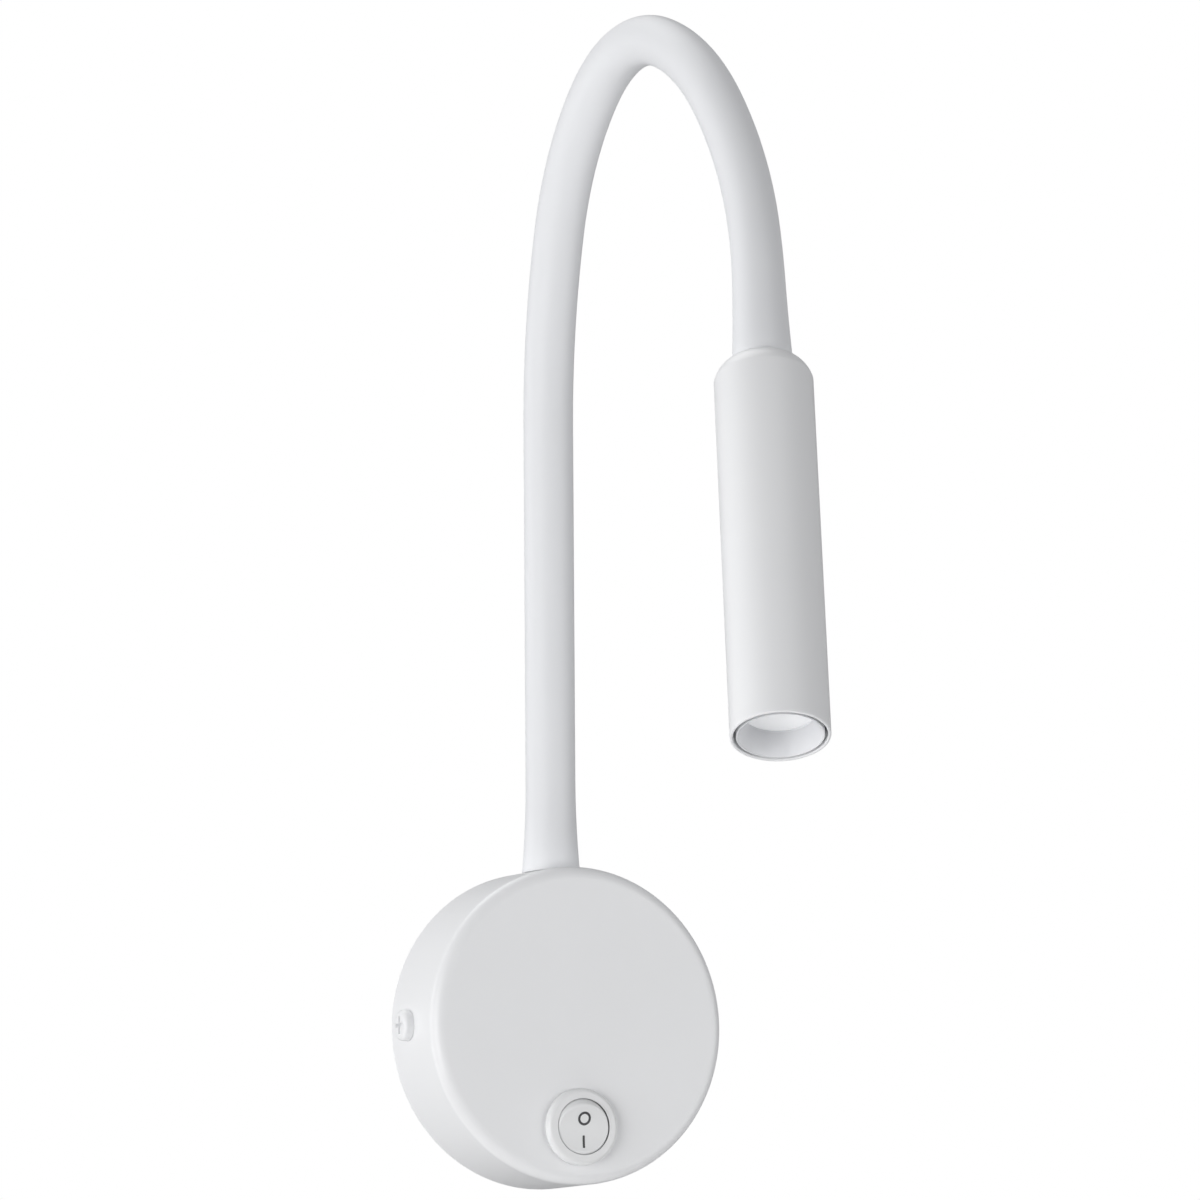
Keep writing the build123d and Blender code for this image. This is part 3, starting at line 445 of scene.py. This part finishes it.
@dataclass
class FlexibleNeck:
    """The smooth sleeve of the neck, in lengths that each reach across one joint."""

    foot_out: float = 9.5
    foot_up: float = 39.0
    base_r: float = 40.0
    hose_r: float = 6.3
    bore_r: float = 5.4
    foot_r: float = 7.4
    foot_flare: float = 24.0
    collar_r: float = 7.45
    collar_flare: float = 40.0
    foot_gap: float = 0.15
    bend_reach: float = 18.0
    ring_pitch: float = 1.25
    ring_sides: int = 64
    links: tuple[Link, ...] = (
        Link(57.0),
        Link(57.0),
        Link(50.0, 17.0),
        Link(40.0, 35.0),
        Link(40.0, 55.0),
        Link(40.0, 31.0),
        Link(40.0, 8.0, -9.0),
        Link(20.0, 11.0),
        Link(24.2),
    )
    bodies: tuple[str, ...] = ("base", "neck_2", "neck_3", "neck_4", "neck_5", "neck_6", "neck_7", "head")
    pieces: list[bpy.types.Object] = field(default_factory=list)

    @property
    def total(self) -> float:
        """Return the sleeve's whole length in millimetres."""
        return sum(link.length for link in self.links)

    def place(self, along: float) -> Matrix:
        """Return the frame at a distance along the neck.

        Args:
            along: The distance from the neck's foot, in millimetres.

        Returns:
            The frame there, in metres, with z along the neck.
        """
        here = Matrix.Translation((0.0, -self.foot_out * MM, self.foot_up * MM))
        for link in self.links[:-1]:
            if along <= link.length:
                return here @ link.step(along / link.length)
            here = here @ link.step()
            along -= link.length
        return here @ self.links[-1].step(along / self.links[-1].length)

    def radius(self, along: float) -> float:
        """Return the sleeve's outer radius in millimetres at a distance along the neck."""
        foot = self._flare(self.foot_flare - along, self.foot_flare, self.foot_r - self.hose_r)
        from_end = self.total - along
        collar = self._flare(self.collar_flare - from_end, self.collar_flare, self.collar_r - self.hose_r)
        return self.hose_r + foot + collar

    @staticmethod
    def _flare(inside: float, length: float, rise: float) -> float:
        """Return the extra radius of a flare that starts in line with the hose.

        Args:
            inside: How far the place lies inside the flare.
            length: The flare's length.
            rise: The extra radius at its end.

        Returns:
            The extra radius, in millimetres.
        """
        if inside <= 0.0:
            return 0.0
        arc_r = (length**2 + rise**2) / (2.0 * rise)
        return arc_r - math.sqrt(arc_r**2 - inside**2)

    def hinge(self, index: int) -> float:
        """Return how far along the neck the hinge between two links lies."""
        return sum(link.length for link in self.links[:index])

    def ends(self, index: int) -> tuple[float, float]:
        """Return where the length of sleeve across a hinge starts and ends.

        Args:
            index: The hinge's number, from 1.

        Returns:
            The two distances along the neck, in millimetres.
        """
        last = len(self.bodies) - 1
        start = 0.0 if index == 1 else (self.hinge(index - 1) + self.hinge(index)) / 2
        end = self.total if index == last else (self.hinge(index) + self.hinge(index + 1)) / 2
        return start, end

    def sleeve_mesh(self, start: float, end: float) -> bmesh.types.BMesh:
        """Sweep one length of sleeve as a closed tube.

        Args:
            start: Where it starts along the neck, in millimetres.
            end: Where it ends.

        Returns:
            The tube's shape.
        """
        steps = round((end - start) / self.ring_pitch)
        stations = [start + (end - start) * k / steps for k in range(steps + 1)]
        rings = [self._ring(along, self.radius(along)) for along in stations]
        rings += [self._ring(along, self.bore_r) for along in reversed(stations)]
        mesh = bmesh.new()
        bmesh.ops.create_circle(mesh, segments=self.ring_sides, radius=1.0, matrix=rings[0], cap_ends=False)
        first = last = mesh.edges[:]
        for before, after in zip(rings, rings[1:]):
            made = bmesh.ops.extrude_edge_only(mesh, edges=last)["geom"]
            verts = {item for item in made if isinstance(item, bmesh.types.BMVert)}
            bmesh.ops.transform(mesh, matrix=after @ before.inverted(), verts=list(verts))
            last = [item for item in made if isinstance(item, bmesh.types.BMEdge) and set(item.verts) <= verts]
        bmesh.ops.bridge_loops(mesh, edges=last + first)
        return mesh

    def _ring(self, along: float, radius: float) -> Matrix:
        """Return the move from a unit ring to the ring at a place along the neck.

        Args:
            along: The ring's place, in millimetres from the neck's foot.
            radius: Its radius in millimetres.

        Returns:
            The ring's frame, scaled to its radius.
        """
        return self.place(along) @ Matrix.Scale(radius * MM, 4)

    def saddle(self, mesh: bmesh.types.BMesh) -> None:
        """Let the foot's end follow the round rim of the base.

        Args:
            mesh: The first length of sleeve.
        """
        rim = self.base_r + self.foot_gap
        for vert in mesh.verts:
            floor = math.sqrt((rim * MM) ** 2 - vert.co.x**2)
            vert.co.z = max(vert.co.z, floor)

    def build(self) -> list[bpy.types.Object]:
        """Make every length of sleeve, each reaching across one joint, and hide the sleeve nodes that it
        replaces.

        Returns:
            The lengths of sleeve, from the base to the head.
        """
        last = len(self.bodies) - 1
        for index in range(1, last + 1):
            start, end = self.ends(index)
            mesh = self.sleeve_mesh(start, end)
            if index == 1:
                self.saddle(mesh)
            piece = finished_piece(f"sleeve_length_{index}", mesh)
            hinge = self.hinge(index)
            self.place(hinge + self.bend_reach).translation
            self.place(hinge - self.bend_reach).translation
            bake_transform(piece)
            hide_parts(f"neck_sleeve_{index}")
            if index == last:
                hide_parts(f"neck_sleeve_{index + 1}")
            self.pieces.append(piece)
        return self.pieces


@dataclass
class HeadShell:
    """The tube of the lamp's head, with a shoulder that is rounded outwards."""

    radius: float = 12.0
    length: float = 105.5
    wall: float = 0.8
    top: float = 2.2
    shoulder: float = 5.2
    shoulder_r: float = 8.0
    brow_r: float = 1.2
    mouth_r: float = 7.55
    stem_r: float = 5.2
    pocket: float = 2.5
    top_t: float = 1.8
    lip_r: float = 0.35
    neck_sink: float = 3.7
    support: float = 1.0
    arc_steps: int = 16
    lip_steps: int = 4
    ring_sides: int = 96

    @staticmethod
    def _arc(middle: Vector, radius: float, start: float, end: float, steps: int) -> list[Vector]:
        """Return points on an arc of the outline.

        Args:
            middle: The arc's middle, as its distance from the axis and along it.
            radius: The arc's radius in millimetres.
            start: Where it starts, in radians above the direction away from the axis.
            end: Where it ends.
            steps: How many straight runs it has.

        Returns:
            The points, from start to end.
        """
        angles = [start + (end - start) * k / steps for k in range(steps + 1)]
        return [middle + radius * Vector((math.cos(angle), -math.sin(angle))) for angle in angles]

    def _shoulder(self) -> list[Vector]:
        """Return the outline of the shoulder, from the neck's hole to the side of the tube."""
        top, side = Vector((self.mouth_r, self.top)), Vector((self.radius, self.top + self.shoulder))
        chord = side - top
        inward = Vector((-chord.y, chord.x)).normalized()
        middle = (top + side) / 2 + inward * math.sqrt(self.shoulder_r**2 - chord.length_squared / 4)
        brow_out = self.radius - self.brow_r
        meet = math.acos((brow_out - middle.x) / (self.shoulder_r - self.brow_r))
        brow = Vector((brow_out, middle.y - (self.shoulder_r - self.brow_r) * math.sin(meet)))
        crown = math.acos((self.mouth_r - middle.x) / self.shoulder_r)
        dome = self._arc(middle, self.shoulder_r, crown, meet, self.arc_steps)
        return dome + self._arc(brow, self.brow_r, meet, 0.0, self.lip_steps)[1:]

    def outline(self) -> list[Vector]:
        """Return the closed outline that is spun, as distances from the axis and along it."""
        bore_r, floor = self.radius - self.wall, self.top + self.pocket
        lip = self.length - self.lip_r
        quarter, steps = math.pi / 2, self.lip_steps
        outer = self._arc(Vector((self.radius - self.lip_r, lip)), self.lip_r, 0.0, -quarter, steps)
        inner = self._arc(Vector((bore_r + self.lip_r, lip)), self.lip_r, -quarter, -2 * quarter, steps)
        return [
            *self._shoulder(),
            Vector((self.radius, lip - self.support)),
            *outer,
            *inner,
            Vector((bore_r, floor + self.top_t)),
            Vector((self.stem_r, floor + self.top_t)),
            Vector((self.stem_r, floor)),
            Vector((self.mouth_r, floor)),
        ]

    def build(self, neck: FlexibleNeck) -> bpy.types.Object:
        """Spin the shell at the neck's end.

        Args:
            neck: The neck that carries the head.

        Returns:
            The shell.
        """
        mesh = bmesh.new()
        ring = [mesh.verts.new((point.x * MM, 0.0, point.y * MM)) for point in self.outline()]
        edges = [mesh.edges.new(pair) for pair in zip(ring, ring[1:] + ring[:1])]
        bmesh.ops.spin(
            mesh,
            geom=ring + edges,
            axis=(0.0, 0.0, 1.0),
            cent=(0.0, 0.0, 0.0),
            angle=2 * math.pi,
            steps=self.ring_sides,
            use_merge=True,
        )
        bmesh.ops.transform(mesh, matrix=neck.place(neck.total - self.neck_sink), verts=mesh.verts[:])
        piece = finished_piece("rounded_head_shell", mesh)
        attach(piece, "head")
        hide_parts("head_shell")
        return piece


@dataclass
class SwitchMarks:
    """The printed ring and bar on the hollow face of the rocker."""

    face_r: float = 6.1
    face_height: float = 5.0
    dish_r: float = 20.0
    ring_up: float = 2.5
    bar_up: float = -3.3
    ring_r: float = 1.75
    stroke: float = 0.6
    bar_length: float = 3.1
    bar_corner: float = 0.12
    bar_rows: int = 10
    corner_steps: int = 3
    proud: float = 0.03
    depth: float = 0.08
    ring_sides: int = 48
    joint: str = "rocker_tilt"

    def rocker_frame(self) -> Matrix:
        """Return the rocker's frame at its pivot, with y up its face and z out of it."""
        tilt = next(j for j in frame["joints"] if j["name"] == self.joint)
        lean = math.radians(90.0 - tilt["range_deg"][0] / 2)
        return Matrix.Translation(Vector(tilt["pos_m"])) @ Matrix.Rotation(lean, 4, "X")

    def surface(self, up: float) -> float:
        """Return how far the face stands above the pivot.

        Args:
            up: The distance from the middle of the face, in metres.

        Returns:
            The height there, in metres.
        """
        rim = self.face_height + math.sqrt(self.dish_r**2 - self.face_r**2)
        return rim * MM - math.sqrt((self.dish_r * MM) ** 2 - up**2)

    def ring_mesh(self) -> bmesh.types.BMesh:
        """Return the shape of the ring mark, flat in its own frame."""
        mesh = bmesh.new()
        bmesh.ops.create_circle(mesh, segments=self.ring_sides, radius=self.ring_r * MM, cap_ends=True)
        bmesh.ops.inset_region(
            mesh, faces=mesh.faces[:], thickness=self.stroke * MM, use_even_offset=True, use_boundary=True
        )
        middle = max(mesh.faces, key=lambda face: len(face.verts))
        bmesh.ops.delete(mesh, geom=[middle], context="FACES_ONLY")
        return mesh

    def bar_mesh(self) -> bmesh.types.BMesh:
        """Return the shape of the bar mark, flat in its own frame."""
        mesh = bmesh.new()
        bmesh.ops.create_grid(mesh, x_segments=1, y_segments=self.bar_rows, size=0.5)
        bmesh.ops.scale(mesh, vec=(self.stroke * MM, self.bar_length * MM, 1.0), verts=mesh.verts[:])
        corners = [vert for vert in mesh.verts if len(vert.link_edges) == 2]
        bmesh.ops.bevel(
            mesh,
            geom=corners,
            offset=self.bar_corner * MM,
            affect="VERTICES",
            segments=self.corner_steps,
            profile=0.5,
            material=-1,
        )
        return mesh

    def drape(self, mesh: bmesh.types.BMesh, up: float) -> None:
        """Thicken a flat mark and lay it on the face.

        Args:
            mesh: The mark's flat shape.
            up: How far above the middle of the face it lies, in millimetres.
        """
        bmesh.ops.solidify(mesh, geom=mesh.faces[:], thickness=self.depth * MM)
        top = max(vert.co.z for vert in mesh.verts)
        bmesh.ops.translate(mesh, vec=(0.0, up * MM, self.proud * MM - top), verts=mesh.verts[:])
        for vert in mesh.verts:
            vert.co.z += self.surface(vert.co.y)
        bmesh.ops.transform(mesh, matrix=self.rocker_frame(), verts=mesh.verts[:])

    def build(self) -> list[bpy.types.Object]:
        """Make both marks and seat them on the rocker.

        Returns:
            The ring and the bar.
        """
        made = []
        for name, mesh, up in (
            ("switch_mark_ring", self.ring_mesh(), self.ring_up),
            ("switch_mark_bar", self.bar_mesh(), self.bar_up),
        ):
            self.drape(mesh, up)
            piece = finished_piece(name, mesh)
            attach(piece, "rocker")
            made.append(piece)
        return made


@dataclass(frozen=True)
class Softbox:
    """One square soft light that faces the lamp."""

    name: str
    place: tuple[float, float, float]
    size: float
    power: float

    def hang(self, target: Vector) -> bpy.types.Object:
        """Add the light to the scene.

        Args:
            target: The point that it faces, in metres.

        Returns:
            The light.
        """
        data = bpy.data.lights.new(self.name, "AREA")
        data.size = self.size
        data.energy = self.power
        light = bpy.data.objects.new(self.name, data)
        light.location = self.place
        light.rotation_euler = (target - Vector(self.place)).to_track_quat("-Z", "Y").to_euler()
        bpy.context.scene.collection.objects.link(light)
        return light


@dataclass
class Studio:
    """The floor, the soft lights, the white surround and the photograph's camera."""

    aim: tuple[float, float, float] = (0.0, -0.0125, 0.0)
    distance: float = 2.5
    azimuth: float = -24.94
    elevation: float = -3.75
    roll: float = -0.37
    axis_pixel: tuple[float, float] = (557.08, 1028.33)
    pixels_per_mm: float = 3.964
    picture: float = 1200.0
    sensor: float = 36.0
    sight_end: float = 50.0
    floor_up: float = -1.2
    floor_r: float = 1.1
    floor_sides: int = 96
    floor_glow: float = 0.42
    floor_colour: Colour = (0.82, 0.82, 0.82)
    floor_roughness: float = 0.9
    target: tuple[float, float, float] = (0.0, -0.08, 0.09)
    glow: tuple[tuple[float, float], ...] = ((-1.0, 0.05), (-0.4, 0.06), (0.2, 0.1), (0.6, 0.3), (1.0, 0.1))
    glow_tint: Colour = (0.97, 0.98, 1.0)
    softboxes: tuple[Softbox, ...] = (
        Softbox("left_softbox", (-1.55, -0.75, 0.0), 1.2, 22.5),
        Softbox("right_softbox", (1.25, -1.3, 0.0), 1.2, 14.0),
        Softbox("top_softbox", (-0.05, 0.75, 1.6), 1.2, 12.0),
        Softbox("left_back_softbox", (-1.4, 1.0, 0.0), 1.2, 7.5),
    )

    def camera(self) -> bpy.types.Object:
        """Place the camera where the photograph was taken from.

        Returns:
            The camera.
        """
        turn, rise, roll = (math.radians(v) for v in (self.azimuth, self.elevation, self.roll))
        ahead = Vector((-math.sin(turn) * math.cos(rise), math.cos(turn) * math.cos(rise), -math.sin(rise)))
        level = Vector((math.cos(turn), math.sin(turn), 0.0))
        upright = level.cross(ahead)
        right = level * math.cos(roll) + upright * math.sin(roll)
        up = upright * math.cos(roll) - level * math.sin(roll)
        focal = self.pixels_per_mm * self.distance / MM
        middle = self.picture / 2
        sight = ahead * focal + right * (middle - self.axis_pixel[0]) + up * (self.axis_pixel[1] - middle)
        sight.normalize()
        across = sight.cross(up).normalized()
        turned = Matrix((across, across.cross(sight), -sight)).transposed()
        data = bpy.data.cameras.new("photo_camera")
        data.sensor_width = self.sensor
        data.lens = self.sensor * focal / self.picture
        data.clip_end = self.sight_end
        camera = bpy.data.objects.new("photo_camera", data)
        camera.matrix_world = Matrix.Translation(Vector(self.aim) - ahead * self.distance) @ turned.to_4x4()
        bpy.context.scene.collection.objects.link(camera)
        bpy.context.scene.camera = camera
        return camera

    def floor(self) -> bpy.types.Object:
        """Lay the round, pale floor below the lamp.

        Returns:
            The floor.
        """
        mesh = bmesh.new()
        bmesh.ops.create_circle(
            mesh,
            segments=self.floor_sides,
            radius=self.floor_r,
            cap_ends=True,
            matrix=Matrix.Translation((0.0, 0.0, self.floor_up)),
        )
        floor = finished_piece("studio_floor", mesh)
        material = bpy.data.materials.new("pale_floor")
        material.use_nodes = True
        shader = material.node_tree.nodes["Principled BSDF"]
        shader.inputs["Base Color"].default_value = (*self.floor_colour, 1.0)
        shader.inputs["Roughness"].default_value = self.floor_roughness
        shader.inputs["Emission Color"].default_value = (1.0, 1.0, 1.0, 1.0)
        shader.inputs["Emission Strength"].default_value = self.floor_glow
        floor.data.materials.append(material)
        return floor

    def surround(self) -> None:
        """Make the surround white to the eye and a gentle light that changes with height."""
        world = bpy.data.worlds.new("white_surround")
        world.use_nodes = True
        tree = world.node_tree
        back = tree.nodes["Background"]
        seen = tree.nodes.new("ShaderNodeBackground")
        seen.inputs["Color"].default_value = (1.0, 1.0, 1.0, 1.0)
        split = tree.nodes.new("ShaderNodeSeparateXYZ")
        height = tree.nodes.new("ShaderNodeMapRange")
        height.inputs["From Min"].default_value = -1.0
        ramp = tree.nodes.new("ShaderNodeValToRGB")
        stops = ramp.color_ramp.elements
        for rise, _ in self.glow[1:-1]:
            stops.new((rise + 1.0) / 2.0)
        for stop, (_, strength) in zip(stops, self.glow):
            stop.color = (*(share * strength for share in self.glow_tint), 1.0)
        path = tree.nodes.new("ShaderNodeLightPath")
        mix = tree.nodes.new("ShaderNodeMixShader")
        tree.links.new(tree.nodes.new("ShaderNodeTexCoord").outputs["Generated"], split.inputs["Vector"])
        tree.links.new(split.outputs["Z"], height.inputs["Value"])
        tree.links.new(height.outputs["Result"], ramp.inputs["Fac"])
        tree.links.new(ramp.outputs["Color"], back.inputs["Color"])
        tree.links.new(path.outputs["Is Camera Ray"], mix.inputs["Fac"])
        tree.links.new(back.outputs["Background"], mix.inputs[1])
        tree.links.new(seen.outputs["Background"], mix.inputs[2])
        tree.links.new(mix.outputs["Shader"], tree.nodes["World Output"].inputs["Surface"])
        bpy.context.scene.world = world

    def build(self) -> None:
        """Set up the whole studio."""
        bpy.context.scene.view_settings.view_transform = "Standard"
        self.camera()
        self.floor()
        for softbox in self.softboxes:
            softbox.hang(Vector(self.target))
        self.surround()


PAINTED = ("base_cover", "cover_screws", "head_shell")
PLATED = (
    "wall_bracket",
    "block_screws",
    "board_screws",
    "terminal_screws",
    "neck_nipple",
    "head_nipple",
    "neck_nut",
    "head_nut",
    "neck_washer",
)
NODE_FINISHES = (
    (PAINT, PAINTED),
    (STEEL, PLATED + tuple(f"neck_core_{k}" for k in range(1, 9))),
    (JACKET, ("driver_lead",) + tuple(f"neck_lead_{k}" for k in range(1, 9))),
    (SLEEVE, ("lens_seal",) + tuple(f"neck_sleeve_{k}" for k in range(1, 9))),
    (SWITCH, ("switch_housing", "switch_rocker")),
    (RING, ("glare_ring", "lens_holder")),
    (BRASS, ("switch_terminals", "earth_screw")),
    (ALUMINIUM, ("heat_sink",)),
    (BLOCK, ("terminal_block",)),
    (DRIVER, ("driver_case",)),
    (FOAM, ("driver_pad",)),
    (GROMMET, ("inlet_grommet",)),
    (BROWN, ("live_wire", "switched_wire")),
    (BLUE, ("neutral_wire",)),
    (GREEN, ("earth_wire",)),
    (MASK, ("led_board",)),
    (PHOSPHOR, ("led_emitter",)),
    (LENS_PAINTED_GLOW, ("lens",)),
)


def main() -> None:
    """Build the lamp's pieces, dress every node and set up the studio."""
    logging.basicConfig(level=logging.INFO, format="%(name)s: %(message)s")
    rack = FinishRack()
    for finish, names in NODE_FINISHES:
        rack.dress_nodes(finish, names)
    neck = FlexibleNeck()
    for piece in neck.build():
        rack.dress(piece, SLEEVE)
        log.info("made %s", piece.name)
    shell = HeadShell().build(neck)
    rack.dress(shell, PAINT)
    log.info("made %s", shell.name)
    for piece in SwitchMarks().build():
        rack.dress(piece, INK)
        log.info("made %s", piece.name)
    Studio().build()


if __name__ == "__main__":
    main()
